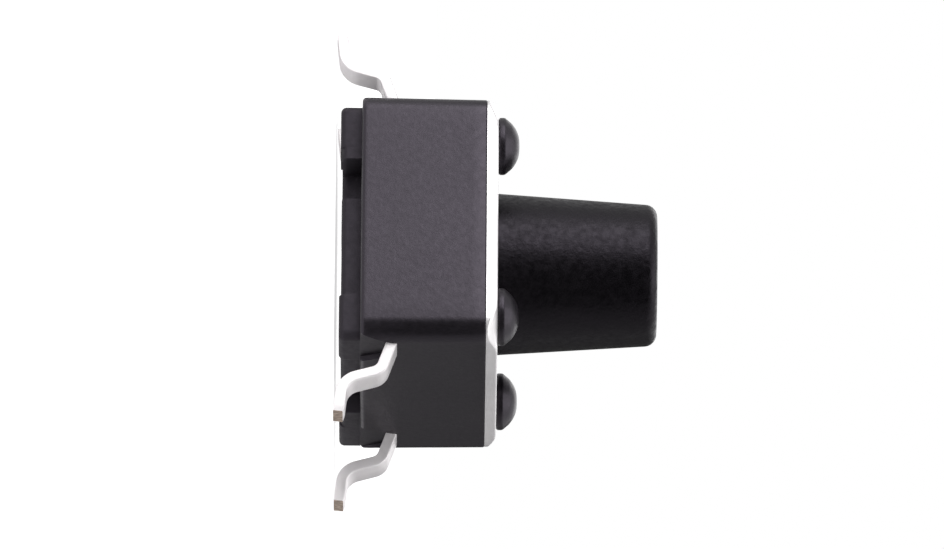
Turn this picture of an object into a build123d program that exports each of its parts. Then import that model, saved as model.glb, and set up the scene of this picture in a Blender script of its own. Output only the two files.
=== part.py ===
"""Tactile push-button switch, 6 mm square, surface mount, with a tall tapered plunger.

Units are millimetres. The origin is the centre of the footprint, on the plane that
the leads are soldered to. +Z is the way the plunger stands, the leads leave the two
X faces, and the two leads on a face are a pitch apart along Y.

Pieces: a moulded housing whose four corner posts are staked over the cover plate, two
stamped terminal strips with a gull-wing lead at each end, a snap dome, a plunger and
the cover plate that keeps the plunger in.
"""

import os
from math import asin, cos, radians, sin, tan

from build123d import *

# ---- Driving dimensions ---------------------------------------------------------

# Housing block
BODY_SIDE = 6.00            # square block, at its widest
BODY_CORNER_R = 0.45        # vertical corners
BODY_DRAFT_DEG = 0.6        # each side leans in towards the cover
STEP_Z = 0.57               # underside of the block, above the solder plane
COVER_SEAT_Z = 3.32         # top of the block, where the cover plate lies

# Base under the block
BASE_BOTTOM_Z = 0.14        # underside of the base between its feet
FOOT_BOTTOM_Z = 0.10        # the corner feet stand a little lower
BASE_CORNER_R = 0.20
FRONT_INSET = 0.42          # base set back from the block, -Y side
REAR_INSET = 0.02           # +Y side
SIDE_INSET = 0.14           # both X sides
FOOT_X = 1.05               # corner feet
FOOT_Y = 1.10
NOTCH_X = (-1.50, -0.64)    # deep notch in the front of the base, and its depth
NOTCH_DEPTH = 0.75
RELIEF_X = (-0.64, 1.76)    # shallow relief beside it
RELIEF_DEPTH = 0.14
SIDE_NOTCH_Y = (-0.12, 1.13)  # notch in the side of the base, and its depth
SIDE_NOTCH_DEPTH = 0.40

# Cavity for the dome and the plunger's flange
CAVITY_R = 2.30
FLOOR_Z = 1.50

# Cover plate
COVER_SETBACK = 0.03        # from the widest part of the block
COVER_CORNER_R = 0.48
COVER_THICKNESS = 0.25
COVER_EDGE_ROLL = 0.05      # rounding that the die leaves round the top

# Staked posts, one at each corner
POST_INSET = 0.90           # post's axis in from the side of the block
POST_SHANK_R = 0.48
POST_CLEARANCE = 0.02       # shank to the hole in the cover, all round
POST_HEAD_R = 0.63
POST_HEAD_RIM = 0.14        # upright part of the head
POST_HEAD_HEIGHT = 0.48
POST_SHOULDER_ROUND = 0.12  # where the crown meets the upright part

# Terminals
STRIP_THICKNESS = 0.24
LEAD_WIDTH = 0.62
LEAD_PITCH = 4.50           # along Y
STRIP_Z = 1.30              # middle of the strip inside the housing
ROOT_DEPTH = 0.15           # the strip starts to slope this far inside the wall
SLOPE_DEG = 19.0            # out of the wall and down
KNEE_REACH = 0.62           # knee out from the wall
LEG_DEG = 73.8              # steep part, below the knee
FOOT_DEG = 6.0              # toe of the foot points down a little
TOE_REACH = 1.63            # toe out from the wall
ROOT_BEND_R = 0.20
KNEE_BEND_R = 0.30
ANKLE_BEND_R = 0.45
EXIT_RELIEF_DEPTH = 0.12    # pocket in the side wall under each lead
EXIT_RELIEF_FLARE = 0.28    # how much wider than the lead it is at the step, each side

# Contacts inside
TONGUE_WIDTH = 0.90         # front terminal, to the centre contact
BUTTON_R = 0.44
TAB_HALF_WIDTH = 1.20       # rear terminal, under the dome's rim
TAB_REACH = 0.45            # how far the tab stands in from the strip
PAD_R = 0.22
PAD_HALF_SPACING = 0.90

# Snap dome
DOME_CLEARANCE = 0.15       # rim to the cavity wall, all round
DOME_HEIGHT = 0.45
DOME_THICKNESS = 0.07

# Plunger
PLUNGER_TOP_Z = 7.09
STEM_TOP_R = 1.55
STEM_BASE_R = 1.80          # at the underside of the cover plate
STEM_TIP_ROUND = 0.27
STEM_CLEARANCE = 0.08       # stem to the hole in the cover, all round
FLANGE_THICKNESS = 0.70
FLANGE_CLEARANCE = 0.10     # flange to the cavity wall, all round
NUB_R = 0.70
NUB_GAP = 0.02              # nub to the top of the dome

# ---- Places worked out from them ------------------------------------------------

COVER_TOP_Z = COVER_SEAT_Z + COVER_THICKNESS
STEM_HOLE_R = STEM_BASE_R + STEM_CLEARANCE
DOME_TOP_Z = FLOOR_Z + DOME_HEIGHT
FLANGE_BOTTOM_Z = COVER_SEAT_Z - FLANGE_THICKNESS
FLANGE_R = CAVITY_R - FLANGE_CLEARANCE
STRIP_TOP_Z = STRIP_Z + STRIP_THICKNESS / 2
STRIP_Y = LEAD_PITCH / 2
DOME_R = CAVITY_R - DOME_CLEARANCE
HALF = BODY_SIDE / 2
ROOT_X = HALF - ROOT_DEPTH
KNEE_X = HALF + KNEE_REACH
TOE_X = HALF + TOE_REACH
COVER_SIDE = BODY_SIDE - 2 * COVER_SETBACK
POST_AT = HALF - POST_INSET
CORNERS = [(sx * POST_AT, sy * POST_AT) for sx in (-1, 1) for sy in (-1, 1)]


def upright(radius, bottom, top, x=0.0, y=0.0):
    """A cylinder with its axis along Z, from one height to another."""
    return Pos(x, y, (bottom + top) / 2) * Cylinder(radius, top - bottom)


def block(x_range, y_range, z_range):
    """A box given by its limits on each axis."""
    (x0, x1), (y0, y1), (z0, z1) = x_range, y_range, z_range
    return Pos((x0 + x1) / 2, (y0 + y1) / 2, (z0 + z1) / 2) * Box(x1 - x0, y1 - y0, z1 - z0)


def half_turn(shape):
    """The same shape turned half round the Z axis."""
    return Rot(0, 0, 180) * shape


# ---- Terminals ------------------------------------------------------------------

def lead_points():
    """Corners of the strip's middle line, from the root out to the toe, as (x, z)."""
    knee_z = STRIP_Z - (KNEE_X - ROOT_X) * tan(radians(SLOPE_DEG))
    toe_z = STRIP_THICKNESS / 2 * cos(radians(FOOT_DEG))
    toe_x = TOE_X - STRIP_THICKNESS / 2 * sin(radians(FOOT_DEG))
    leg, foot = tan(radians(LEG_DEG)), tan(radians(FOOT_DEG))
    # The leg's line comes down from the knee and meets the foot's line at the ankle.
    ankle_x = (knee_z - toe_z + leg * KNEE_X - foot * toe_x) / (leg - foot)
    ankle_z = toe_z + foot * (toe_x - ankle_x)
    return [(ROOT_X, STRIP_Z), (KNEE_X, knee_z), (ankle_x, ankle_z), (toe_x, toe_z)]


def strip(y):
    """One stamped strip that runs across the housing, with a gull-wing lead at each end."""
    right = [(x, y, z) for x, z in lead_points()]
    left = [(-x, py, z) for x, py, z in reversed(right)]
    bends = (ANKLE_BEND_R, KNEE_BEND_R, ROOT_BEND_R, ROOT_BEND_R, KNEE_BEND_R, ANKLE_BEND_R)
    path = FilletPolyline(*left, *right, radius=bends)
    section = Plane(origin=path @ 0, x_dir=(0, 1, 0), z_dir=path % 0) * Rectangle(LEAD_WIDTH, STRIP_THICKNESS)
    return sweep(section, path=path)


def make_front_terminal():
    """The strip that carries the centre contact on a tongue."""
    tongue = block((-TONGUE_WIDTH / 2, TONGUE_WIDTH / 2), (-STRIP_Y, 0),
                   (STRIP_Z - STRIP_THICKNESS / 2, STRIP_TOP_Z))
    tongue_end = upright(TONGUE_WIDTH / 2, STRIP_Z - STRIP_THICKNESS / 2, STRIP_TOP_Z)
    button = upright(BUTTON_R, STRIP_Z, FLOOR_Z)
    return strip(-STRIP_Y) + tongue + tongue_end + button


def make_rear_terminal():
    """The strip that carries the two pads under the dome's rim."""
    inner_edge = STRIP_Y - LEAD_WIDTH / 2
    tab = block((-TAB_HALF_WIDTH, TAB_HALF_WIDTH), (inner_edge - TAB_REACH, STRIP_Y),
                (STRIP_Z - STRIP_THICKNESS / 2, STRIP_TOP_Z))
    pad_y = (DOME_R ** 2 - PAD_HALF_SPACING ** 2) ** 0.5 - PAD_R / 2
    pads = [upright(PAD_R, STRIP_Z, FLOOR_Z, side * PAD_HALF_SPACING, pad_y) for side in (-1, 1)]
    return strip(STRIP_Y) + tab + pads


# ---- Housing --------------------------------------------------------------------

def staked_post():
    """A post through the cover plate, with its end formed into a domed head."""
    head_top = COVER_TOP_Z + POST_HEAD_HEIGHT
    rim_top = COVER_TOP_Z + POST_HEAD_RIM
    crown_height = POST_HEAD_HEIGHT - POST_HEAD_RIM
    crown_r = (POST_HEAD_R ** 2 + crown_height ** 2) / (2 * crown_height)
    half_arc = asin(POST_HEAD_R / crown_r) / 2
    crown_middle = (crown_r * sin(half_arc), head_top - crown_r * (1 - cos(half_arc)))
    outline = make_face([
        Polyline((0, head_top), (0, COVER_TOP_Z), (POST_HEAD_R, COVER_TOP_Z), (POST_HEAD_R, rim_top)),
        ThreePointArc((POST_HEAD_R, rim_top), crown_middle, (0, head_top)),
    ])
    shoulder = outline.vertices().sort_by_distance((POST_HEAD_R, rim_top))[0]
    head = revolve(Plane.XZ * fillet(shoulder, POST_SHOULDER_ROUND), Axis.Z)
    return head + upright(POST_SHANK_R, COVER_SEAT_Z - POST_HEAD_RIM, COVER_TOP_Z)


def make_base():
    """The base under the block: corner feet, a notch and a relief on each long side."""
    x0, x1 = -HALF + SIDE_INSET, HALF - SIDE_INSET
    y0, y1 = -HALF + FRONT_INSET, HALF - REAR_INSET
    centre_y = (y0 + y1) / 2
    slab = Pos(0, centre_y, BASE_BOTTOM_Z) * extrude(
        RectangleRounded(x1 - x0, y1 - y0, BASE_CORNER_R), STEP_Z - BASE_BOTTOM_Z)
    foot_plan = Pos(0, centre_y) * RectangleRounded(x1 - x0, y1 - y0, BASE_CORNER_R)
    feet = extrude(Pos(0, 0, FOOT_BOTTOM_Z) * foot_plan, STEP_Z - FOOT_BOTTOM_Z)
    gap_z = (FOOT_BOTTOM_Z - 1, BASE_BOTTOM_Z)
    feet -= block((-HALF, HALF), (y0 + FOOT_Y, y1 - FOOT_Y), gap_z)
    feet -= block((x0 + FOOT_X, x1 - FOOT_X), (-HALF, HALF), gap_z)
    cut_z = (FOOT_BOTTOM_Z - 1, STEP_Z)
    cuts = [
        block(NOTCH_X, (y0 - 1, y0 + NOTCH_DEPTH), cut_z),
        block(RELIEF_X, (y0 - 1, y0 + RELIEF_DEPTH), cut_z),
        half_turn(block(NOTCH_X, (-y1 - 1, -y1 + NOTCH_DEPTH), cut_z)),
        half_turn(block(RELIEF_X, (-y1 - 1, -y1 + RELIEF_DEPTH), cut_z)),
        block((x1 - SIDE_NOTCH_DEPTH, x1 + 1), SIDE_NOTCH_Y, cut_z),
        half_turn(block((x1 - SIDE_NOTCH_DEPTH, x1 + 1), SIDE_NOTCH_Y, cut_z)),
    ]
    return slab + feet - cuts


def exit_reliefs():
    """Pockets in the two X faces, one under each lead, that flare towards the step."""
    at_step, at_lead = LEAD_WIDTH / 2 + EXIT_RELIEF_FLARE, LEAD_WIDTH / 2
    outline = Polyline((-at_step, STEP_Z), (at_step, STEP_Z), (at_lead, STRIP_Z), (-at_lead, STRIP_Z),
                       close=True)
    face = Plane.YZ * make_face(outline)
    pocket = Pos(HALF - EXIT_RELIEF_DEPTH, 0, 0) * extrude(face, EXIT_RELIEF_DEPTH + 1)
    right = [Pos(0, y, 0) * pocket for y in (-STRIP_Y, STRIP_Y)]
    return right + [half_turn(cut) for cut in right]


def make_housing(terminals):
    """The moulding, with its posts staked, round the two terminals."""
    top_side = BODY_SIDE - 2 * (COVER_SEAT_Z - STEP_Z) * tan(radians(BODY_DRAFT_DEG))
    body = loft([Pos(0, 0, z) * RectangleRounded(side, side, BODY_CORNER_R)
                 for z, side in ((STEP_Z, BODY_SIDE), (COVER_SEAT_Z, top_side))])
    body -= exit_reliefs()
    body += make_base()
    body -= upright(CAVITY_R, FLOOR_Z, COVER_SEAT_Z + 1)
    body += [Pos(x, y) * staked_post() for x, y in CORNERS]
    return body - terminals


# ---- Moving pieces and the cover ------------------------------------------------

def make_snap_dome():
    """A thin domed disc that stands on its rim."""
    outer_r = (DOME_R ** 2 + DOME_HEIGHT ** 2) / (2 * DOME_HEIGHT)
    centre_z = DOME_TOP_Z - outer_r
    shell = Pos(0, 0, centre_z) * (Sphere(outer_r) - Sphere(outer_r - DOME_THICKNESS))
    return shell & upright(DOME_R + 1, FLOOR_Z, DOME_TOP_Z + 1)


def make_plunger():
    """Tapered stem, flange under the cover plate and a nub that rests on the dome."""
    outline = Polyline(
        (0, DOME_TOP_Z + NUB_GAP), (NUB_R, DOME_TOP_Z + NUB_GAP), (NUB_R, FLANGE_BOTTOM_Z),
        (FLANGE_R, FLANGE_BOTTOM_Z), (FLANGE_R, COVER_SEAT_Z), (STEM_BASE_R, COVER_SEAT_Z),
        (STEM_TOP_R, PLUNGER_TOP_Z), (0, PLUNGER_TOP_Z), close=True)
    stem = revolve(Plane.XZ * make_face(outline), Axis.Z)
    tip_edge = stem.edges().filter_by(GeomType.CIRCLE).sort_by(Axis.Z)[-1]
    return fillet(tip_edge, STEM_TIP_ROUND)


def make_cover_plate():
    """The flat steel plate over the flange, with a hole for the stem and one for each post."""
    plate = Pos(0, 0, COVER_SEAT_Z) * extrude(
        RectangleRounded(COVER_SIDE, COVER_SIDE, COVER_CORNER_R), COVER_THICKNESS)
    rim = plate.faces().sort_by(Axis.Z)[-1].outer_wire().edges()
    plate = fillet(rim, COVER_EDGE_ROLL)
    holes = [upright(STEM_HOLE_R, COVER_SEAT_Z - 1, COVER_TOP_Z + 1)]
    holes += [upright(POST_SHANK_R + POST_CLEARANCE, COVER_SEAT_Z - 1, COVER_TOP_Z + 1, x, y)
              for x, y in CORNERS]
    return plate - holes


def main():
    """Build every piece and write one STEP file for each."""
    front_terminal = make_front_terminal()
    rear_terminal = make_rear_terminal()
    pieces = {
        "housing": make_housing([front_terminal, rear_terminal]),
        "front_terminal": front_terminal,
        "rear_terminal": rear_terminal,
        "snap_dome": make_snap_dome(),
        "plunger": make_plunger(),
        "cover_plate": make_cover_plate(),
    }
    os.makedirs("parts", exist_ok=True)
    for name, shape in pieces.items():
        export_step(shape, f"parts/{name}.step")


main()
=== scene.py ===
"""A surface-mount tactile switch: the looks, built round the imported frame.

Pieces are worked out in millimetres and written to their meshes in metres, in the row
frame: origin on the solder plane under the middle of the body, +Z the way the plunger
stands, the leads leaving along X.
"""

from __future__ import annotations

import logging
import math
from dataclasses import dataclass, field
from enum import Enum

import bmesh
import bpy
import numpy as np
from mathutils import Matrix, Vector


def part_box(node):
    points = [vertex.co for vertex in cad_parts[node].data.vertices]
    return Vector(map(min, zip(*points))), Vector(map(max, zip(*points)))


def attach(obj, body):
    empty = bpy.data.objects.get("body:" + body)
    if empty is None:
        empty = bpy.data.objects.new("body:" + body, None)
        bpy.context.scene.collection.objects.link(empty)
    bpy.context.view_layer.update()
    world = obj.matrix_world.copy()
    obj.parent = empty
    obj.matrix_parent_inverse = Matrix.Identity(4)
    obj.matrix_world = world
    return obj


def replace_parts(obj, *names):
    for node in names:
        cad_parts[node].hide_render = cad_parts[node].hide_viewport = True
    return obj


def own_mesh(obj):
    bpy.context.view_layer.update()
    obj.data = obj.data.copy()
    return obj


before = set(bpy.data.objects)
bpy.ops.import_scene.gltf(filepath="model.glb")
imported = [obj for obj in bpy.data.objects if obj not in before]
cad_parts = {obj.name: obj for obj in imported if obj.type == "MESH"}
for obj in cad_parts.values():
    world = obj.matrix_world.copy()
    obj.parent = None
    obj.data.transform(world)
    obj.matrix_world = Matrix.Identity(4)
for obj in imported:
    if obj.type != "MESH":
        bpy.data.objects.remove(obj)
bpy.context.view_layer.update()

MM = 0.001                      # metres in a millimetre
RING = 8                        # places round a rounded rectangle
CUT_EDGE = (-0.03, -0.01, 0.01, 0.03)   # knots across the edge of a cut, in millimetres
BODY = "switch_body"
PRESSED = "plunger"
log = logging.getLogger("switch")

Array, Material, Socket = np.ndarray, bpy.types.Material, bpy.types.NodeSocket
Pair, Triple = tuple[float, float], tuple[float, float, float]


def box_mm(node: str) -> tuple[Array, Array]:
    """Lowest and highest corner of a CAD node, in millimetres.

    Args:
        node: name of the CAD node.

    Returns:
        Two arrays of x, y and z.
    """
    low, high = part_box(node)
    return np.array(low) / MM, np.array(high) / MM


# ---- Surfaces -------------------------------------------------------------------

@dataclass
class Shell:
    """Points and faces of one closed surface, in millimetres.

    Attributes:
        points: array (n, 3).
        faces: list of index arrays, one array (m, 4) or (m, 3) for each kind of face.
        slot: index of the material that its faces take.
    """

    points: Array
    faces: list[Array]
    slot: int = 0


def grid_shell(grid: Array, wrap_first: bool, slot: int = 0) -> Shell:
    """Joins a grid of points into quads.

    Args:
        grid: array (rows, columns, 3).
        wrap_first: whether the last row meets the first one.
        slot: index of the material.

    Returns:
        The surface, with each face the square between neighbouring rows and columns.
    """
    rows, columns = grid.shape[:2]
    index = np.arange(rows * columns).reshape(rows, columns)
    upper = np.roll(index, -1, axis=0) if wrap_first else index[1:]
    lower = index if wrap_first else index[:-1]
    quads = np.stack([lower[:, :-1], upper[:, :-1], upper[:, 1:], lower[:, 1:]], axis=-1)
    return Shell(grid.reshape(-1, 3), [quads.reshape(-1, 4)], slot)


def rounded_path(corners: list[Pair], radii: list[float], steps: int = 8) -> Array:
    """A polyline with an arc in each inner corner.

    The arc of radius r that turns by angle t starts r * tan(t / 2) before its corner, and
    its points are the centre plus r times the unit vector that turns from the first
    tangent point to the second.

    Args:
        corners: points of the polyline.
        radii: one radius for each inner corner; 0 leaves it sharp.
        steps: spans in each arc.

    Returns:
        Array (n, 2) of points along the path.
    """
    points = np.array(corners, float)
    pieces = [points[:1]]
    for before, corner, after, radius in zip(points, points[1:], points[2:], radii):
        inward, outward = corner - before, after - corner
        inward, outward = inward / np.linalg.norm(inward), outward / np.linalg.norm(outward)
        turn = math.acos(float(np.clip(inward @ outward, -1, 1)))
        if radius <= 0 or turn < 1e-6:
            pieces.append(corner[None])
            continue
        side = math.copysign(1.0, inward[0] * outward[1] - inward[1] * outward[0])
        start = corner - inward * radius * math.tan(turn / 2)
        normal = side * np.array([-inward[1], inward[0]])
        centre = start + normal * radius
        angle = side * np.linspace(0, turn, steps + 1)
        spoke = start - centre
        pieces.append(centre + np.stack([spoke[0] * np.cos(angle) - spoke[1] * np.sin(angle),
                                         spoke[0] * np.sin(angle) + spoke[1] * np.cos(angle)], axis=1))
    pieces.append(points[-1:])
    return np.concatenate(pieces)


def turned(profile: Array, around: int, centre: Pair = (0, 0)) -> Shell:
    """A surface of revolution: each profile point (r, z) goes round the axis.

    Args:
        profile: array (n, 2) of radius and height.
        around: points in each ring.
        centre: x and y of the axis.

    Returns:
        The surface x = cx + r cos a, y = cy + r sin a, z = z.
    """
    angle = np.linspace(0, 2 * math.pi, around, endpoint=False)[:, None]
    radius, height = profile[None, :, 0], profile[None, :, 1]
    grid = np.stack(np.broadcast_arrays(centre[0] + radius * np.cos(angle),
                                        centre[1] + radius * np.sin(angle), height), axis=-1)
    return grid_shell(grid, wrap_first=True)


def spaced(path: Array, gap: float) -> Array:
    """Adds evenly spaced points to the long runs of a path.

    Args:
        path: array (n, 2).
        gap: longest distance left between two points.

    Returns:
        The same path with more points.
    """
    pieces = [path[:1]]
    for start, end in zip(path, path[1:]):
        count = max(1, math.ceil(float(np.linalg.norm(end - start)) / gap))
        pieces.append(start + (end - start) * np.linspace(0, 1, count + 1)[1:, None])
    return np.concatenate(pieces)


def side_frame(place_round: Array) -> tuple[Array, Array]:
    """Normal and forward direction of the side that each place round a ring is on."""
    quarter = (place_round // 2) * math.pi / 2
    normal = np.stack([np.cos(quarter), np.sin(quarter)], axis=1).round(9)
    return normal, np.stack([-normal[:, 1], normal[:, 0]], axis=1)


def rounded_ring(place_round: Array, low: Array, high: Array, radius: float) -> Array:
    """Points of a rounded rectangle, by their place round it.

    The place runs from 0 to RING: side k, counted from +X anticlockwise, takes 2k to
    2k + 1 and the corner after it the next unit. With n the side's normal and a the
    direction along it, a point is centre + reach * (n + t * a) + radius * (cos q, sin q).

    Args:
        place_round: array (n) of places.
        low, high: x and y of the rectangle's limits, or one number for both.
        radius: radius of its corners.

    Returns:
        Array (n, 2).
    """
    side, rest = np.divmod(place_round, 2)
    turn = side * math.pi / 2 + np.clip(rest - 1, 0, 1) * math.pi / 2
    along = (np.clip(rest, 0, 1) * 2 - 1)[:, None]
    normal, forward = side_frame(place_round)
    reach = (high - low) / 2 - radius
    arc = np.stack([np.cos(turn), np.sin(turn)], axis=-1) * radius
    return (low + high) / 2 + reach * (normal + along * forward) + arc


def quarter_round(radius: float, steps: int) -> Array:
    """Inset and drop along a rounded edge, from its first face to its second."""
    angle = np.linspace(0, math.pi / 2, steps + 1)
    return radius * np.stack([1 - np.sin(angle), 1 - np.cos(angle)], axis=1)


def at_height(ring: Array, z: float | Array) -> Array:
    """Points of a flat outline at one height, or at a height each."""
    return np.column_stack([ring, np.broadcast_to(z, len(ring))])


def write_mesh(name: str, shells: list[Shell], sharp_deg: float) -> bpy.types.Mesh:
    """Puts surfaces into one mesh, in metres, with its seams and poles merged.

    Args:
        name: name of the mesh.
        shells: the surfaces, in millimetres.
        sharp_deg: edges that turn by more than this stay sharp.

    Returns:
        The mesh, with its faces pointing outwards.
    """
    points = np.concatenate([shell.points for shell in shells])
    faces, slots, start = [], [], 0
    for shell in shells:
        for block in shell.faces:
            faces.extend((block + start).tolist())
            slots.extend([shell.slot] * len(block))
        start += len(shell.points)
    mesh = bpy.data.meshes.new(name)
    mesh.from_pydata(points.tolist(), [], faces)
    mesh.polygons.foreach_set("material_index", np.array(slots, np.int32))
    work = bmesh.new()
    work.from_mesh(mesh)
    bmesh.ops.remove_doubles(work, verts=work.verts, dist=1e-4)
    bmesh.ops.recalc_face_normals(work, faces=work.faces)
    work.to_mesh(mesh)
    work.free()
    to_metres(mesh)
    mesh.polygons.foreach_set("use_smooth", np.ones(len(mesh.polygons), bool))
    mesh.set_sharp_from_angle(angle=math.radians(sharp_deg))
    return mesh


def to_metres(mesh: bpy.types.Mesh) -> None:
    """Scales a mesh in millimetres to metres."""
    points = np.empty(len(mesh.vertices) * 3, np.float32)
    mesh.vertices.foreach_get("co", points)
    mesh.vertices.foreach_set("co", points * np.float32(MM))
    mesh.update()


def new_object(name: str, data: bpy.types.ID) -> bpy.types.Object:
    """Makes an object and links it to the scene."""
    made = bpy.data.objects.new(name, data)
    bpy.context.scene.collection.objects.link(made)
    return made


def place(name: str, mesh: bpy.types.Mesh, materials: list[Material], body: str) -> bpy.types.Object:
    """Makes the object of a finished mesh and lets it ride on a body.

    Args:
        name: name of the piece.
        mesh: its mesh, in metres.
        materials: its materials, in the order of the mesh's indices.
        body: CAD body that carries it.

    Returns:
        The object, at the origin.
    """
    for material in materials:
        mesh.materials.append(material)
    piece = new_object(name, mesh)
    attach(piece, body)
    log.info("%s: %d faces on %s", name, len(mesh.polygons), body)
    return piece


# ---- Finishes -------------------------------------------------------------------

class Sheet:
    """The node tree of a new material, with short calls for the nodes used here."""

    def __init__(self, name: str) -> None:
        """Starts a material with a Principled shader and Object coordinates."""
        self.material = bpy.data.materials.new(name)
        self.material.use_nodes = True
        self.tree = self.material.node_tree
        self.shader = self.tree.nodes["Principled BSDF"]
        self.object_coords = self.add("ShaderNodeTexCoord").outputs["Object"]

    def add(self, kind: str, **inputs: object) -> bpy.types.Node:
        """Adds a node and sets or links its inputs.

        Args:
            kind: Blender's name of the node type.
            inputs: values or sockets by input name, with _ for a space.

        Returns:
            The node.
        """
        node = self.tree.nodes.new(kind)
        for key, value in inputs.items():
            self.feed(node.inputs[key.replace("_", " ")], value)
        return node

    def feed(self, socket: Socket, value: object) -> None:
        """Links a socket to an input, or sets the input's value."""
        if isinstance(value, Socket):
            self.tree.links.new(value, socket)
        else:
            socket.default_value = value

    def noise(self, size_mm: float, detail: float = 3.0,
              stretch: Triple = (1, 1, 1)) -> Socket:
        """Noise whose features are about size_mm across, times stretch along each axis."""
        scale = tuple(1 / (size_mm * MM * s) for s in stretch)
        mapped = self.add("ShaderNodeMapping", Vector=self.object_coords, Scale=scale)
        node = self.add("ShaderNodeTexNoise", Vector=mapped.outputs[0], Scale=1.0, Detail=detail)
        return node.outputs["Fac"]

    def ramp(self, value: Socket, low: float, high: float, out_low: float,
             out_high: float) -> Socket:
        """Carries a value from one range to another, clamped."""
        node = self.tree.nodes.new("ShaderNodeMapRange")
        for index, item in enumerate((value, low, high, out_low, out_high)):
            self.feed(node.inputs[index], item)
        return node.outputs[0]

    def blend(self, share: Socket, first: object, second: object) -> Socket:
        """Mixes two colours by a share from 0 to 1."""
        node = self.tree.nodes.new("ShaderNodeMix")
        node.data_type = "RGBA"
        self.feed(node.inputs["Factor"], share)
        self.feed(node.inputs["A"], first)
        self.feed(node.inputs["B"], second)
        return node.outputs["Result"]

    def combine(self, kind: str, first: object, second: object) -> Socket:
        """Two numbers combined by a kind of sum, such as ADD."""
        node = self.tree.nodes.new("ShaderNodeMath")
        node.operation = kind
        self.feed(node.inputs[0], first)
        self.feed(node.inputs[1], second)
        return node.outputs[0]

    def bump(self, height: Socket, depth_mm: float,
             below: object = None) -> Socket:
        """A bump of a real depth, over another bump if there is one."""
        node = self.add("ShaderNodeBump", Height=height, Distance=depth_mm * MM, Strength=1.0)
        if below is not None:
            self.feed(node.inputs["Normal"], below)
        return node.outputs["Normal"]

    def finish(self, **inputs: object) -> Material:
        """Feeds the shader's own sockets and returns the material."""
        for key, value in inputs.items():
            self.feed(self.shader.inputs[key.replace("_", " ")], value)
        return self.material


def colour(red: float, green: float, blue: float) -> tuple[float, float, float, float]:
    """A colour with full cover."""
    return (red, green, blue, 1.0)


@dataclass(frozen=True)
class MouldedNylon:
    """Black glass-filled nylon with the grain of its mould.

    Attributes:
        name: name of the material.
        dark, light: the two colours that the flow of the melt mixes.
        grain_mm: size of the mould's grain.
        grain_depth_mm: depth of that grain.
        roughness: lowest and highest roughness.
        gloss: specular level, where 0.5 is plain plastic.
        base_matt: roughness added on the base, below the step of the block.
        sheen_tint: colour of the reflections, a little violet.
        flow_mm, fleck_mm, sheen_mm: size of the streaks, fibre flecks and gloss patches.
        swell_mm, swell_depth_mm: size and depth of slow waves in the surface.
        step_mm: heights between which base_matt fades out.
    """

    name: str
    dark: Triple
    light: Triple
    grain_mm: float
    grain_depth_mm: float
    roughness: Pair
    gloss: float = 0.5
    base_matt: float = 0.0
    sheen_tint: Triple = (0.93, 0.83, 1.0)
    flow_mm: float = 1.6
    fleck_mm: float = 0.05
    sheen_mm: float = 0.15
    swell_mm: float = 1.1
    swell_depth_mm: float = 0.004
    step_mm: Pair = (0.54, 0.58)

    def build(self) -> Material:
        """Makes the material."""
        sheet = Sheet(self.name)
        flow = sheet.ramp(sheet.noise(self.flow_mm, 2.0), 0.35, 0.65, 0, 1)
        fleck = sheet.ramp(sheet.noise(self.fleck_mm, 2.0), 0.64, 0.74, 0.0, 0.5)
        tint = sheet.blend(flow, colour(*self.dark), colour(*self.light))
        tint = sheet.blend(fleck, tint, colour(*(2.2 * part for part in self.light)))
        shine = sheet.ramp(sheet.noise(self.sheen_mm), 0.34, 0.70, *self.roughness)
        height = sheet.add("ShaderNodeSeparateXYZ", Vector=sheet.object_coords).outputs["Z"]
        matt = sheet.ramp(height, self.step_mm[0] * MM, self.step_mm[1] * MM, self.base_matt, 0.0)
        shine = sheet.combine("ADD", shine, matt)
        swell = sheet.bump(sheet.noise(self.swell_mm, 2.0), self.swell_depth_mm)
        grain = sheet.bump(sheet.noise(self.grain_mm), self.grain_depth_mm, swell)
        return sheet.finish(Base_Color=tint, Roughness=shine, Normal=grain, IOR=1.5,
                            Specular_IOR_Level=self.gloss, Specular_Tint=colour(*self.sheen_tint))


@dataclass(frozen=True)
class RolledMetal:
    """Strip metal with fine rolling lines along one axis.

    Attributes:
        name: name of the material.
        tone: its colour.
        shade: the colour of its duller patches.
        roughness: lowest and highest roughness.
        stretch: how far the lines are drawn out along each axis.
        line_depth_mm: depth of the lines.
        metallic: 1 for bright bare metal, less for a matt or plated one.
        line_mm, patch_mm, wave_mm, wave_depth_mm: the lines, patches and slow waves.
    """

    name: str
    tone: Triple
    shade: Triple
    roughness: Pair
    stretch: Triple = (12, 1, 12)
    line_depth_mm: float = 0.0006
    metallic: float = 1.0
    line_mm: float = 0.03
    patch_mm: float = 0.6
    wave_mm: float = 0.9
    wave_depth_mm: float = 0.012

    def build(self) -> Material:
        """Makes the material."""
        sheet = Sheet(self.name)
        patch = sheet.ramp(sheet.noise(self.patch_mm, 4.0), 0.4, 0.7, 0, 1)
        tint = sheet.blend(patch, colour(*self.tone), colour(*self.shade))
        lines = sheet.noise(self.line_mm, stretch=self.stretch)
        shine = sheet.ramp(lines, 0.3, 0.7, *self.roughness)
        waves = sheet.bump(sheet.noise(self.wave_mm, 2.0), self.wave_depth_mm)
        drawn = sheet.bump(lines, self.line_depth_mm, waves)
        return sheet.finish(Base_Color=tint, Metallic=self.metallic, Roughness=shine, Normal=drawn)


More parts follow.
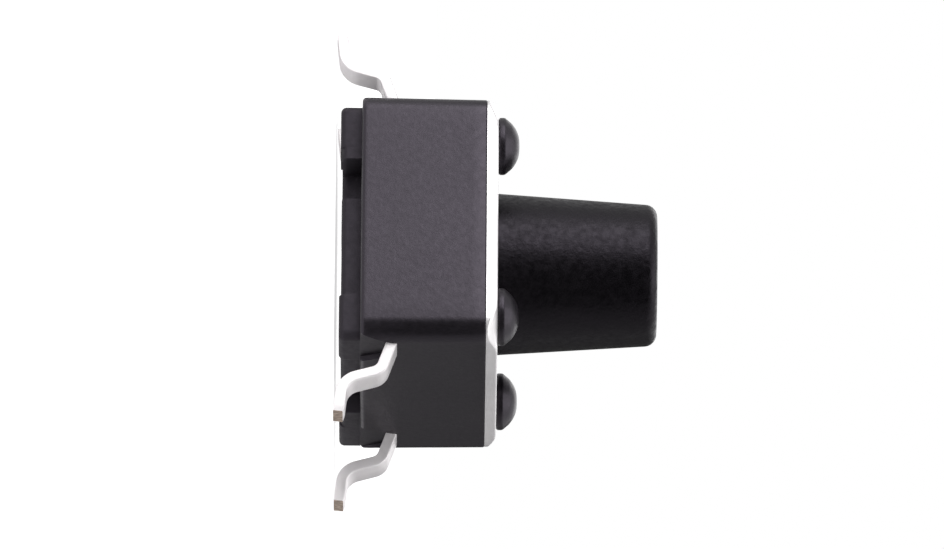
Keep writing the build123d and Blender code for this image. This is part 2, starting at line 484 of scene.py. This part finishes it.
@dataclass(frozen=True)
class CutBrass:
    """Bare brass where the strip was sheared: a burnished band and a torn one."""

    name: str = "cut_brass"
    bright: Triple = (0.40, 0.32, 0.26)
    torn: Triple = (0.17, 0.13, 0.11)

    def build(self) -> Material:
        """Makes the material."""
        sheet = Sheet(self.name)
        tear = sheet.noise(0.06, 4.0, (1, 0.6, 2.5))
        share = sheet.ramp(tear, 0.4, 0.65, 0, 1)
        tint = sheet.blend(share, colour(*self.bright), colour(*self.torn))
        rough = sheet.ramp(tear, 0.3, 0.7, 0.35, 0.6)
        return sheet.finish(Base_Color=tint, Metallic=0.85, Roughness=rough,
                            Normal=sheet.bump(tear, 0.008))


HOUSING_NYLON = MouldedNylon("housing_nylon", dark=(0.0050, 0.0044, 0.0054), light=(0.0075, 0.0066, 0.0080),
                             grain_mm=0.08, grain_depth_mm=0.0030, roughness=(0.33, 0.42), gloss=0.49,
                             base_matt=0.22)
PLUNGER_NYLON = MouldedNylon("plunger_nylon", dark=(0.0018, 0.0016, 0.0020), light=(0.0028, 0.0025, 0.0030),
                             grain_mm=0.09, grain_depth_mm=0.0085, roughness=(0.32, 0.54), gloss=0.23)
TIN_PLATE = RolledMetal("tin_plate", tone=(0.86, 0.83, 0.84), shade=(0.78, 0.75, 0.765),
                        roughness=(0.40, 0.52), line_depth_mm=0.0003, metallic=0.45)
COVER_STEEL = RolledMetal("cover_steel", tone=(0.90, 0.88, 0.89), shade=(0.82, 0.80, 0.81),
                          roughness=(0.36, 0.48), stretch=(14, 1, 1), line_depth_mm=0.0005, metallic=0.70)
DOME_STEEL = RolledMetal("dome_steel", tone=(0.72, 0.70, 0.67), shade=(0.60, 0.58, 0.55),
                         roughness=(0.14, 0.26), stretch=(14, 1, 1), line_depth_mm=0.0004)
CUT_BRASS = CutBrass()


# ---- Pieces ---------------------------------------------------------------------

class Side(Enum):
    """The two terminal strips, by the sign of their Y."""

    FRONT = -1
    REAR = 1


@dataclass
class Housing:
    """The black moulding and the staked ends of its four posts.

    Attributes:
        half, corner_r, draft_deg: the block at its widest, its corners and its lean.
        step_z: underside of the block.
        step_round, top_round: radii of the block's lower and upper edges.
        wall_z: heights of the wall's rows above the pockets.
        base_low, base_high, base_r, base_round: outline of the base, its corners and edge.
        base_z, foot_z: underside of the base and of its corner feet.
        foot: how far the feet reach along X and Y.
        long_cuts, side_cuts: steps of the cuts in the base, as (place, depth after it).
        cavity_r, floor_z: the hole for the dome.
        lead_y: distance of the leads from the middle.
        pocket_half, pocket_flare, pocket_top, pocket_depth: pocket under each lead.
        pocket_rim: width of a pocket's edge.
        post_pitch: distance between the posts.
        head_r, head_rim, head_height, shoulder_round, foot_round: the staked heads.
        head_wall: height from which a head's wall is plain.
        dimple_r, dimple_depth: the dip that the staking punch leaves.
    """

    half: float = 3.00
    corner_r: float = 0.45
    draft_deg: float = 0.6
    step_z: float = 0.57
    step_round: float = 0.085
    top_round: float = 0.035
    wall_z: tuple[float, ...] = (3.0, 2.5, 2.0, 1.6)
    base_low: Pair = (-2.86, -2.58)
    base_high: Pair = (2.86, 2.98)
    base_r: float = 0.20
    base_round: float = 0.12
    base_z: float = 0.14
    foot_z: float = 0.10
    foot: Pair = (1.05, 1.10)
    long_cuts: tuple[Pair, ...] = ((-1.50, 0.75), (-0.64, 0.14), (1.76, 0.0))
    side_cuts: tuple[Pair, ...] = ((-0.12, 0.40), (1.13, 0.0))
    cavity_r: float = 2.30
    floor_z: float = 1.50
    lead_y: float = 2.25
    pocket_half: float = 0.31
    pocket_flare: float = 0.28
    pocket_top: float = 1.30
    pocket_depth: float = 0.12
    pocket_rim: float = 0.03
    post_pitch: float = 4.20
    head_r: float = 0.63
    head_rim: float = 0.14
    head_height: float = 0.48
    head_wall: float = 0.10
    shoulder_round: float = 0.098
    foot_round: float = 0.055
    dimple_r: float = 0.20
    dimple_depth: float = 0.02

    @staticmethod
    def cut_knots(cuts: tuple[Pair, ...]) -> tuple[Array, Array]:
        """Places and depths of a row of cuts, with each corner broken by a small chamfer."""
        places, depths, before = [], [], 0.0
        for middle, after in cuts:
            ease = min(0.04, abs(after - before) / 3) * math.copysign(1, after - before)
            places += [middle + off for off in CUT_EDGE]
            depths += [before, before + ease, after - ease, after]
            before = after
        return np.array(places), np.array(depths)

    def face_span(self) -> tuple[list[float], list[float]]:
        """Distance along an X face and its corners, against the place from 0 to 3."""
        straight, bend = self.half - self.corner_r, self.corner_r * math.pi / 2
        return [0, 1, 2, 3], [-straight - bend, -straight, straight, straight + bend]

    def pocket_edge(self, share: float) -> Pair:
        """Distances along an X face of a pocket's two edges; share 0 is at the step."""
        wide = self.pocket_half + self.pocket_flare * (1 - share)
        straight = self.half - self.corner_r
        far = self.lead_y + wide - straight
        return self.lead_y - wide, straight + self.corner_r * math.asin(far / self.corner_r)

    def pocket_rims(self) -> Array:
        """Distances, at the step, of the outer and inner lines of a pocket's two edges."""
        near, far = self.pocket_edge(0.0)
        return np.array([near, near + self.pocket_rim, far - self.pocket_rim, far])

    def stations(self) -> Array:
        """Places of the columns: even ones, and close ones where an edge has to be crisp."""
        low, high = np.array(self.base_low), np.array(self.base_high)
        reach, middle = (high - low) / 2 - self.base_r, (high + low) / 2
        found = [np.linspace(0, RING, RING * 14, endpoint=False)]
        edges = self.pocket_rims()
        for side in range(4):
            axis = (side + 1) % 2
            sign = 1 if side in (0, 3) else -1
            cuts = self.side_cuts if side % 2 == 0 else self.long_cuts
            marks = (self.cut_knots(cuts)[0] - sign * middle[axis]) / reach[axis]
            foot = (reach[axis] + self.base_r - self.foot[axis]) / reach[axis]
            feet = np.array([-foot - 0.003, -foot + 0.003, foot - 0.003, foot + 0.003])
            found.append(2 * side + (np.concatenate([marks, feet]) + 1) / 2)
            if side % 2 == 0:
                span, length = self.face_span()
                found.append((np.interp(np.concatenate([-edges, edges]), length, span) - 1 + 2 * side) % RING)
        return np.unique(np.concatenate(found).round(6))

    def sheared(self, place_round: Array, z: float) -> tuple[Array, Array]:
        """Places moved so that the columns follow the pockets' slanting edges.

        Args:
            place_round: the columns' places.
            z: height of the row.

        Returns:
            The moved places, and how much of the pocket's depth each column takes.
        """
        share = float(np.clip((z - self.step_z) / (self.pocket_top - self.step_z), 0, 1))
        near, far = self.pocket_edge(0.0)
        near_here, far_here = self.pocket_edge(share)
        span, length = self.face_span()
        depth = np.zeros_like(place_round)
        moved = place_round.copy()
        for start in (0, 4):
            local = (place_round + 1 - start) % RING
            on_face = local <= 3
            distance = np.interp(local[on_face], span, length)
            size = np.abs(distance)
            depth[on_face] = np.interp(size, self.pocket_rims(), [0, 1, 1, 0])
            size = np.interp(size, [0, near, far, length[3]], [0, near_here, far_here, length[3]])
            back = np.interp(np.sign(distance) * size, length, span)
            moved[on_face] = (back - 1 + start) % RING
        return moved, depth * float(np.interp(z, [self.pocket_top - 0.05, self.pocket_top], [1, 0]))

    def block_rows(self, columns: Array, seat: float) -> Array:
        """The block's wall, from its top edge down to the inner end of its rounded step."""
        levels = [(inset, seat - fall) for inset, fall in quarter_round(self.top_round, 3)]
        pocket_z = np.linspace(self.pocket_top, self.step_z + self.step_round + 0.05, 10)
        levels += [(0.0, z) for z in (*self.wall_z, *pocket_z)]
        levels += [(inset, self.step_z + rise) for inset, rise in quarter_round(self.step_round, 6)[::-1]]
        rows = []
        for inset, z in levels:
            lean = (z - self.step_z) * math.tan(math.radians(self.draft_deg))
            moved, pocket = self.sheared(columns, z)
            edge = self.half - lean - inset
            ring = rounded_ring(moved, -edge, edge, self.corner_r - inset)
            over = np.maximum(np.abs(ring[:, 0]) - (self.half - self.pocket_depth), 0)
            ring[:, 0] -= np.sign(ring[:, 0]) * over * pocket
            rows.append(at_height(ring, z))
        return np.stack(rows, axis=1)

    def base_rows(self, columns: Array) -> Array:
        """The base, from the block's underside over its rounded edge to the middle below."""
        low, high = np.array(self.base_low), np.array(self.base_high)
        normal, forward = side_frame(columns)
        outline = rounded_ring(columns, low, high, self.base_r)
        along = (outline * forward).sum(axis=1)
        depth = np.where(np.abs(normal[:, 0]) > 0.5, np.interp(along, *self.cut_knots(self.side_cuts)),
                         np.interp(along, *self.cut_knots(self.long_cuts)))
        depth = np.where(columns % 2 > 1, 0.0, depth)
        inner_low, inner_high = low + self.foot, high - self.foot
        outside = (outline < inner_low - 1e-6) | (outline > inner_high + 1e-6)
        bottom = np.where(outside.all(axis=1), self.foot_z, self.base_z)
        rows = []
        for inset, rise in [(0.0, None), *quarter_round(self.base_round, 6)[::-1]]:
            ring = rounded_ring(columns, low + inset, high - inset, self.base_r - inset)
            z = self.step_z if rise is None else bottom + rise
            rows.append(at_height(ring - normal * depth[:, None], z))
        inner = np.clip(rows[-1][:, :2], inner_low, inner_high)
        middle = np.tile([0.0, (low[1] + high[1]) / 2], (len(inner), 1))
        rows += [at_height(inner, bottom), at_height(inner, self.base_z), at_height(middle, self.base_z)]
        return np.stack(rows, axis=1)

    def cavity_rows(self, columns: Array, seat: float) -> Array:
        """The cavity's floor and wall, from its middle up to the seat of the cover."""
        ring = rounded_ring(columns, -self.half, self.half, self.corner_r)
        angle = np.arctan2(ring[:, 1], ring[:, 0])[:, None]
        r, z = self.cavity_r, self.floor_z
        profile = np.array([(0, z), (r - 0.04, z), (r, z + 0.04), (r, 2.4), (r, seat)])
        return np.stack([profile[:, 0] * np.cos(angle), profile[:, 0] * np.sin(angle),
                         np.broadcast_to(profile[:, 1], (len(angle), len(profile)))], axis=-1)

    def moulding(self, material: Material) -> bpy.types.Object:
        """The block and its base as one closed surface round the cavity.

        Args:
            material: the nylon.

        Returns:
            The piece, which stands for the CAD housing.
        """
        seat = float(box_mm("cover_plate")[0][2])
        columns = self.stations()
        grid = np.concatenate([self.cavity_rows(columns, seat), self.block_rows(columns, seat),
                               self.base_rows(columns)], axis=1)
        mesh = write_mesh("housing_moulding", [grid_shell(grid, wrap_first=True)], 38)
        piece = place("housing_moulding", mesh, [material], BODY)
        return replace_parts(piece, "housing")

    def head_profile(self, cover_top: float) -> Array:
        """Radius and height along a staked head, from its crown down to the plate.

        The crown is an arc from the axis to the shoulder, sunk by a small bell-shaped
        dimple: z = top - depth * exp(-(r / r0)^2). Its last five points give way to the
        rounded shoulder.
        """
        crown_height = self.head_height - self.head_rim
        crown_r = (self.head_r ** 2 + crown_height ** 2) / (2 * crown_height)
        radius = np.linspace(0, self.head_r, 22)
        height = cover_top + self.head_height - crown_r + np.sqrt(crown_r ** 2 - radius ** 2)
        height -= self.dimple_depth * np.exp(-(radius / self.dimple_r) ** 2)
        crown = np.stack([radius, height], axis=1)
        corner = (self.head_r, cover_top)
        shoulder = rounded_path([crown[-5], (self.head_r, crown[-1, 1]), corner], [self.shoulder_round])
        foot = rounded_path([(self.head_r, cover_top + self.head_wall), corner, (0, cover_top)],
                            [self.foot_round], steps=6)
        return np.concatenate([crown[:-5], shoulder[:-1], foot])

    def heads(self, material: Material) -> list[bpy.types.Object]:
        """The four staked heads, one piece each."""
        profile = self.head_profile(float(box_mm("cover_plate")[1][2]))
        half = self.post_pitch / 2
        made = []
        for side_x, word_x in ((-1, "left"), (1, "right")):
            for side_y, word_y in ((-1, "front"), (1, "rear")):
                shell = turned(profile, 72, (side_x * half, side_y * half))
                name = f"staked_head_{word_y}_{word_x}"
                made.append(place(name, write_mesh(name, [shell], 40), [material], BODY))
        return made


@dataclass
class Terminal:
    """One stamped strip with a gull-wing lead at each end.

    Bends are radii of the strip's middle line. The coined toe keeps coin_share of its
    thickness. The front strip has a tongue and one contact, and the rear one a tab and two
    pads, which overlap the strip and reach up to floor_z.
    """

    side: Side
    thickness: float = 0.24
    width: float = 0.62
    pitch: float = 4.50
    strip_z: float = 1.30
    root_x: float = 2.85
    slope_deg: float = 19.0
    knee_x: float = 3.62
    leg_deg: float = 73.8
    foot_deg: float = 6.0
    root_bend: float = 0.20
    knee_bend: float = 0.30
    ankle_bend: float = 0.45
    rolled_edge: float = 0.045
    burr_edge: float = 0.015
    coin_length: float = 0.16
    coin_share: float = 0.76
    floor_z: float = 1.50
    tongue_half: float = 0.45
    contact_r: float = 0.44
    tab_half: float = 1.20
    pad_r: float = 0.21
    pad_at: Pair = (0.90, 1.8426)
    overlap: float = 0.1
    name: str = field(init=False)

    def __post_init__(self) -> None:
        """Names the terminal after its CAD node."""
        self.name = f"{self.side.name.lower()}_terminal"

    def middle_line(self) -> Array:
        """Points (x, z) of the strip's middle line, from one toe to the other."""
        toe = box_mm(self.name)[1][0]
        slope, leg, foot = (math.radians(a) for a in (self.slope_deg, self.leg_deg, self.foot_deg))
        knee_z = self.strip_z - (self.knee_x - self.root_x) * math.tan(slope)
        toe_x = toe - self.thickness / 2 * math.sin(foot)
        toe_z = self.thickness / 2 * math.cos(foot)
        run = math.tan(leg) - math.tan(foot)
        ankle_x = (knee_z - toe_z + math.tan(leg) * self.knee_x - math.tan(foot) * toe_x) / run
        ankle_z = toe_z + math.tan(foot) * (toe_x - ankle_x)
        half = [(0, self.strip_z), (self.root_x, self.strip_z), (self.knee_x, knee_z), (ankle_x, ankle_z),
                (toe_x, toe_z)]
        right = rounded_path(half, [self.root_bend, self.knee_bend, self.ankle_bend], steps=14)
        left = right[:0:-1] * np.array([-1, 1])
        line = np.concatenate([left, right])
        fine = np.linspace(0, 1, 7)[:, None]
        unit = (line[-2] - line[-1]) / np.linalg.norm(line[-2] - line[-1])
        last = line[-1] + unit * self.coin_length * (1 - fine)
        first = last[::-1] * np.array([-1, 1])
        return np.concatenate([first[:-1], spaced(np.concatenate([first[-1:], line[1:-1], last[:1]]), 0.12),
                               last[1:]])

    def section(self) -> Array:
        """Outline (across, up) of the strip: rolled edges above and sharp ones below.

        Corners are quarter arcs; the upper two have the die's larger roll.
        """
        w, t = self.width / 2, self.thickness / 2
        corners = [(0, -t), (w, -t), (w, t), (-w, t), (-w, -t), (0, -t)]
        radii = [self.burr_edge, self.rolled_edge, self.rolled_edge, self.burr_edge]
        return rounded_path(corners, radii, steps=5)[:-1]

    def swept(self) -> list[Shell]:
        """The strip: its section carried along the middle line, and its two cut ends.

        A point is the middle line plus the section's first number along Y and its second
        along the line's normal. The last coin_length of each toe narrows to coin_share.
        """
        line, outline = self.middle_line(), self.section()
        ahead = np.gradient(line, axis=0)
        ahead /= np.linalg.norm(ahead, axis=1, keepdims=True)
        up = np.stack([-ahead[:, 1], ahead[:, 0]], axis=1)
        passed = np.concatenate([[0.0], np.cumsum(np.linalg.norm(np.diff(line, axis=0), axis=1))])
        to_end = np.minimum(passed, passed[-1] - passed)[None, :]
        narrow = 1 - (1 - self.coin_share) * np.clip(1 - to_end / self.coin_length, 0, 1) ** 1.5
        rise = outline[:, 1][:, None] * np.where(outline[:, 1][:, None] > 0, narrow, 1.0)
        x = line[None, :, 0] + rise * up[None, :, 0]
        z = line[None, :, 1] + rise * up[None, :, 1]
        y = self.side.value * self.pitch / 2 + outline[:, 0][:, None] * (1 + narrow) / 2
        grid = np.stack([x, y, z], axis=-1)
        shells = [grid_shell(grid, wrap_first=True)]
        for column in (0, -1):
            rim = grid[:, column]
            centre = rim.mean(axis=0)
            share = np.array([1.0, 0.7, 0.4, 0.0])[None, :, None]
            shells.append(grid_shell(centre + (rim[:, None] - centre) * share, wrap_first=True, slot=1))
        return shells

    def slab(self, half_x: float, y_from: float, y_to: float) -> Shell:
        """A flat tab of the strip's thickness: a box with rounded upright corners.

        Its wall is the rounded outline at four heights, closed at the top and bottom.
        """
        low, high = sorted((y_from, y_to))
        middle = (low + high) / 2
        outline = rounded_path([(0, low), (half_x, low), (half_x, high), (-half_x, high), (-half_x, low),
                                (0, low)], [0.12] * 4, steps=6)[:-1]
        t, roll = self.thickness / 2, 0.02
        inset = np.array([1.0, roll, 0.0, 0.0, roll, 1.0])
        height = self.strip_z + np.array([-t, -t, roll - t, t - roll, t, t])
        scale_x = np.where(inset == 1.0, 0.0, 1 - inset / half_x)
        scale_y = np.where(inset == 1.0, 0.0, 1 - inset / ((high - low) / 2))
        grid = np.stack(np.broadcast_arrays(outline[:, :1] * scale_x,
                                            middle + (outline[:, 1:] - middle) * scale_y,
                                            height[None, :]), axis=-1)
        return grid_shell(grid, wrap_first=True)

    def contacts(self) -> list[Shell]:
        """The tongue and centre contact, or the tab and its two pads."""
        low, high = box_mm(self.name)
        inner = self.side.value * (self.pitch - self.width) / 2
        if self.side is Side.FRONT:
            parts = [self.slab(self.tongue_half, inner - self.overlap, high[1])]
            spots = [(0.0, 0.0, self.contact_r)]
        else:
            parts = [self.slab(self.tab_half, low[1], inner + self.overlap)]
            spots = [(side * self.pad_at[0], self.pad_at[1], self.pad_r) for side in (-1, 1)]
        for x, y, radius in spots:
            profile = rounded_path([(0, self.floor_z), (radius, self.floor_z), (radius, self.strip_z),
                                    (0, self.strip_z)], [0.03, 0.0], steps=5)
            parts.append(turned(profile, 48, (x, y)))
        return parts

    def build(self, plate: Material, cut: Material) -> bpy.types.Object:
        """Makes the strip and its contacts as one piece.

        Args:
            plate: the plated surface.
            cut: the bare metal of the sheared ends.

        Returns:
            The piece, which stands for the CAD terminal.
        """
        name = f"{self.name}_strip"
        mesh = write_mesh(name, self.swept() + self.contacts(), 50)
        piece = place(name, mesh, [plate, cut], BODY)
        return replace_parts(piece, self.name)


@dataclass
class Plunger:
    """Tapered stem with a flange under the cover and a nub below."""

    base_r: float = 1.80
    top_r: float = 1.55
    tip_round: float = 0.27
    nub_r: float = 0.70
    flange_thickness: float = 0.70
    lower_rounds: tuple[float, ...] = (0.04, 0.06, 0.05, 0.08)   # flange, then nub, from the top

    def build(self, material: Material) -> bpy.types.Object:
        """Turns the profile from the tip, over the flange, to the nub.

        Args:
            material: the nylon.

        Returns:
            The piece, which stands for the CAD plunger.
        """
        low, high = box_mm("plunger")
        seat = box_mm("cover_plate")[0][2]
        flange_r = (high[0] - low[0]) / 2
        below = seat - self.flange_thickness
        corners = [(0, high[2]), (self.top_r, high[2]), (self.base_r, seat), (flange_r, seat),
                   (flange_r, below), (self.nub_r, below), (self.nub_r, low[2]), (0, low[2])]
        path = rounded_path(corners, [self.tip_round, 0.0, *self.lower_rounds], steps=10)
        shell = turned(spaced(path, 0.25), 160)
        mesh = write_mesh("plunger_stem", [shell], 35)
        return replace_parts(place("plunger_stem", mesh, [material], PRESSED), "plunger")


@dataclass
class Cover:
    """The stamped plate that keeps the plunger in, with its corners pressed down a little."""

    corner_r: float = 0.48
    hole_r: float = 1.88
    roll: float = 0.05
    hole_roll: float = 0.03
    drop: float = 0.21
    drop_from: float = 5.10
    drop_to: float = 5.66

    def build(self, material: Material) -> bpy.types.Object:
        """Makes the plate as one closed ring round the stem's hole.

        Its top falls by drop * s^1.6, where s goes from 0 to 1 as |x| + |y| passes from
        drop_from to drop_to.

        Args:
            material: the steel.

        Returns:
            The piece, which stands for the CAD cover plate.
        """
        low, high = box_mm("cover_plate")
        columns = np.linspace(0, RING, RING * 24, endpoint=False)
        outer = rounded_ring(columns, low[:2], high[:2], self.corner_r)
        angle = np.arctan2(outer[:, 1], outer[:, 0])
        hole = np.stack([np.cos(angle), np.sin(angle)], axis=1) * self.hole_r
        rows = [at_height(hole, low[2])]
        for inset, fall in quarter_round(self.hole_roll, 3)[::-1]:
            rows.append(at_height(hole * (1 + inset / self.hole_r), high[2] - fall))
        edge = quarter_round(self.roll, 5)
        rim = [rounded_ring(columns, low[:2] + inset, high[:2] - inset, self.corner_r - inset)
               for inset, _ in edge]
        shares = np.concatenate([np.linspace(0, 0.55, 5)[1:], np.linspace(0.55, 1, 14)[1:-1]])
        start = hole * (1 + self.hole_roll / self.hole_r)
        rows += [at_height(start + (rim[0] - start) * share, high[2]) for share in shares]
        rows += [at_height(ring, high[2] - fall) for ring, (_, fall) in zip(rim, edge)]
        rows.append(at_height(outer, low[2]))
        grid = np.stack(rows + rows[:1], axis=1)
        past = np.abs(grid[..., :2]).sum(axis=-1)
        share = np.clip((past - self.drop_from) / (self.drop_to - self.drop_from), 0, 1) ** 1.6
        grid[..., 2] -= self.drop * share * (grid[..., 2] - low[2]) / (high[2] - low[2])
        mesh = write_mesh("cover_plate_stamping", [grid_shell(grid, wrap_first=True)], 40)
        piece = place("cover_plate_stamping", mesh, [material], BODY)
        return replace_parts(piece, "cover_plate")


@dataclass
class SnapDome:
    """The thin spring disc that gives the click."""

    thickness: float = 0.07
    travel: float = 0.25

    def build(self, material: Material) -> bpy.types.Object:
        """Turns a cap of one sphere over a cap of another with the same centre.

        Args:
            material: the spring steel.

        Returns:
            The piece, on its own copy of the mesh.
        """
        low, high = box_mm("snap_dome")
        rim_r, rise = (high[0] - low[0]) / 2, high[2] - low[2]
        outer = (rim_r ** 2 + rise ** 2) / (2 * rise)
        centre = high[2] - outer
        inner = outer - self.thickness
        out_angle = np.linspace(0, math.asin(rim_r / outer), 26)
        in_angle = np.linspace(math.acos((low[2] - centre) / inner), 0, 26)
        upper = np.stack([outer * np.sin(out_angle), centre + outer * np.cos(out_angle)], axis=1)
        under = np.stack([inner * np.sin(in_angle), centre + inner * np.cos(in_angle)], axis=1)
        mesh = write_mesh("snap_dome_disc", [turned(np.concatenate([upper, under]), 96)], 40)
        piece = place("snap_dome_disc", mesh, [material], BODY)
        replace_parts(piece, "snap_dome")
        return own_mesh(piece)


# ---- Studio ---------------------------------------------------------------------

def toward(azimuth_deg: float, elevation_deg: float) -> Vector:
    """Unit vector from the object: azimuth 0 is -Y and 90 is +X."""
    a, e = math.radians(azimuth_deg), math.radians(elevation_deg)
    return Vector((math.sin(a) * math.cos(e), -math.cos(a) * math.cos(e), math.sin(e)))


@dataclass
class Camera:
    """A long lens almost level with the switch, turned so that +Z runs to the right."""

    azimuth_deg: float = 26.703
    elevation_deg: float = -0.144
    roll_deg: float = 0.483
    distance: float = 0.300
    aim: Triple = (0.0, 0.0, 0.003012)
    lens: float = 517.9

    def build(self) -> None:
        """Makes the camera and gives it to the scene."""
        back = toward(self.azimuth_deg, self.elevation_deg)
        right = (Vector((0, 0, 1)) - back * back.z).normalized()
        up = back.cross(right)
        roll = math.radians(self.roll_deg)
        across = math.cos(roll) * right + math.sin(roll) * up
        upward = -math.sin(roll) * right + math.cos(roll) * up
        data = bpy.data.cameras.new("camera")
        data.lens, data.sensor_width = self.lens, 36.0
        data.clip_start, data.clip_end = 0.01, 20.0
        camera = new_object("camera", data)
        turn = Matrix((across, upward, back)).transposed().to_4x4()
        camera.matrix_world = Matrix.Translation(Vector(self.aim) + back * self.distance) @ turn
        bpy.context.scene.camera = camera


@dataclass
class Softbox:
    """A square lamp that faces the switch.

    Attributes:
        name: name of the lamp.
        azimuth_deg, elevation_deg: direction from the switch.
        radiance: brightness of its face, where 1 is white.
        size: width and height, in metres.
        distance: from the switch, in metres.
        glossy: whether reflections see it.
    """

    name: str
    azimuth_deg: float
    elevation_deg: float
    radiance: float
    size: Pair = (0.16, 0.16)
    distance: float = 0.25
    glossy: bool = True

    def build(self) -> None:
        """Makes the lamp: its power is radiance times pi times its area."""
        data = bpy.data.lights.new(self.name, "AREA")
        data.shape = "RECTANGLE"
        data.size, data.size_y = self.size
        data.energy = self.radiance * math.pi * self.size[0] * self.size[1]
        lamp = new_object(self.name, data)
        back = toward(self.azimuth_deg, self.elevation_deg)
        lamp.location = Vector((0, 0, 0.003)) + back * self.distance
        lamp.rotation_euler = back.to_track_quat("Z", "Y").to_euler()
        lamp.visible_glossy = self.glossy


@dataclass
class Flag:
    """A dim card for reflections only: the camera, diffuse light and shadows miss it.

    It spans a stretch of azimuth, lies on the floor from near the switch out to its
    radius, in metres, and stands up from there.
    """

    name: str
    azimuth_from: float
    azimuth_to: float
    level: float
    elevation_to: float = 70.0
    radius: float = 0.6
    near: float = 0.007

    def build(self) -> None:
        """Makes a sector of floor and a band of a cylinder, with a plain dim glow."""
        angle = np.radians(np.linspace(self.azimuth_from, self.azimuth_to, 33))[:, None]
        top = self.radius * math.tan(math.radians(self.elevation_to))
        reach = np.array([[self.near, self.radius, self.radius]])
        height = np.array([[0.0002, 0.0002, top]])
        grid = np.stack(np.broadcast_arrays(reach * np.sin(angle), -reach * np.cos(angle), height), axis=-1)
        shell = grid_shell(grid, wrap_first=False)
        mesh = bpy.data.meshes.new(self.name)
        mesh.from_pydata(shell.points.tolist(), [], shell.faces[0].tolist())
        material = bpy.data.materials.new(self.name)
        material.use_nodes = True
        tree = material.node_tree
        glow = tree.nodes.new("ShaderNodeEmission")
        glow.inputs["Color"].default_value = colour(1, 1, 1)
        glow.inputs["Strength"].default_value = self.level
        tree.links.new(glow.outputs[0], tree.nodes["Material Output"].inputs["Surface"])
        mesh.materials.append(material)
        card = new_object(self.name, mesh)
        card.visible_camera = card.visible_diffuse = card.visible_shadow = False


@dataclass
class Studio:
    """Pale floor, white surroundings, soft lamps and dim flags."""

    ambient: float = 0.20
    floor_half: float = 6.0
    floor_colour: float = 0.80
    floor_glow: Pair = (0.62, 1.0)
    floor_ramp: Pair = (0.03, 0.12)
    lamps: list[Softbox] = field(default_factory=lambda: [
        Softbox("key", -38, 8, 3.4, (0.21, 0.20)),
        Softbox("overhead", 20, 78, 1.3, (0.20, 0.20)),
        Softbox("rear_fill", 212, 28, 1.2),
        Softbox("camera_fill", 42, 16, 3.0, (0.20, 0.20), glossy=False),
    ])
    flags: list[Flag] = field(default_factory=lambda: [
        Flag("camera_flag", -8, 80, 0.0, 55.0),
        Flag("side_flag", 80, 152, 0.50, 25.0),
        Flag("back_flag", 152, 215, 0.14, 25.0),
        Flag("far_flag", -150, -76, 0.62),
    ])

    def white_share(self, tree: bpy.types.NodeTree) -> Socket:
        """1 for rays from the camera, from gloss and through glass, and 0 for the rest."""
        path = tree.nodes.new("ShaderNodeLightPath")
        total = path.outputs["Is Camera Ray"]
        for name in ("Is Glossy Ray", "Is Transmission Ray"):
            both = tree.nodes.new("ShaderNodeMath")
            both.operation = "MAXIMUM"
            tree.links.new(total, both.inputs[0])
            tree.links.new(path.outputs[name], both.inputs[1])
            total = both.outputs[0]
        return total

    def world(self) -> None:
        """White to the camera and to gloss, and a soft grey light on everything else."""
        world = bpy.data.worlds.new("surroundings")
        world.use_nodes = True
        tree = world.node_tree
        mix = tree.nodes.new("ShaderNodeMapRange")
        tree.links.new(self.white_share(tree), mix.inputs[0])
        mix.inputs[3].default_value = self.ambient
        mix.inputs[4].default_value = 1.0
        background = tree.nodes["Background"]
        background.inputs["Color"].default_value = colour(1, 1, 1)
        tree.links.new(mix.outputs[0], background.inputs["Strength"])
        bpy.context.scene.world = world

    def floor(self) -> None:
        """A wide pale floor that glows a little to the camera and still takes a shadow."""
        half = self.floor_half
        mesh = bpy.data.meshes.new("floor")
        corners = [(-half, -half, 0), (half, -half, 0), (half, half, 0), (-half, half, 0)]
        mesh.from_pydata(corners, [], [(0, 1, 2, 3)])
        sheet = Sheet("pale_floor")
        away = sheet.add("ShaderNodeVectorMath", Vector=sheet.object_coords)
        away.operation = "LENGTH"
        glow = sheet.ramp(away.outputs["Value"], *self.floor_ramp, *self.floor_glow)
        glow = sheet.combine("MULTIPLY", self.white_share(sheet.tree), glow)
        mesh.materials.append(sheet.finish(
            Base_Color=colour(*(self.floor_colour,) * 3), Roughness=0.9, Specular_IOR_Level=0.0,
            Emission_Color=colour(1, 1, 1), Emission_Strength=glow))
        new_object("floor", mesh)

    def build(self) -> None:
        """Sets up the floor, the surroundings, the lamps and the flags."""
        bpy.context.scene.view_settings.view_transform = "Standard"
        self.world()
        self.floor()
        for part in self.lamps + self.flags:
            part.build()


def main() -> None:
    """Builds the switch and its studio."""
    logging.basicConfig(level=logging.INFO, format="%(message)s")
    nylon = HOUSING_NYLON.build()
    housing = Housing()
    housing.moulding(nylon)
    housing.heads(nylon)
    plate, cut = TIN_PLATE.build(), CUT_BRASS.build()
    for side in Side:
        Terminal(side).build(plate, cut)
    SnapDome().build(DOME_STEEL.build())
    Plunger().build(PLUNGER_NYLON.build())
    Cover().build(COVER_STEEL.build())
    Camera().build()
    Studio().build()


if __name__ == "__main__":
    main()
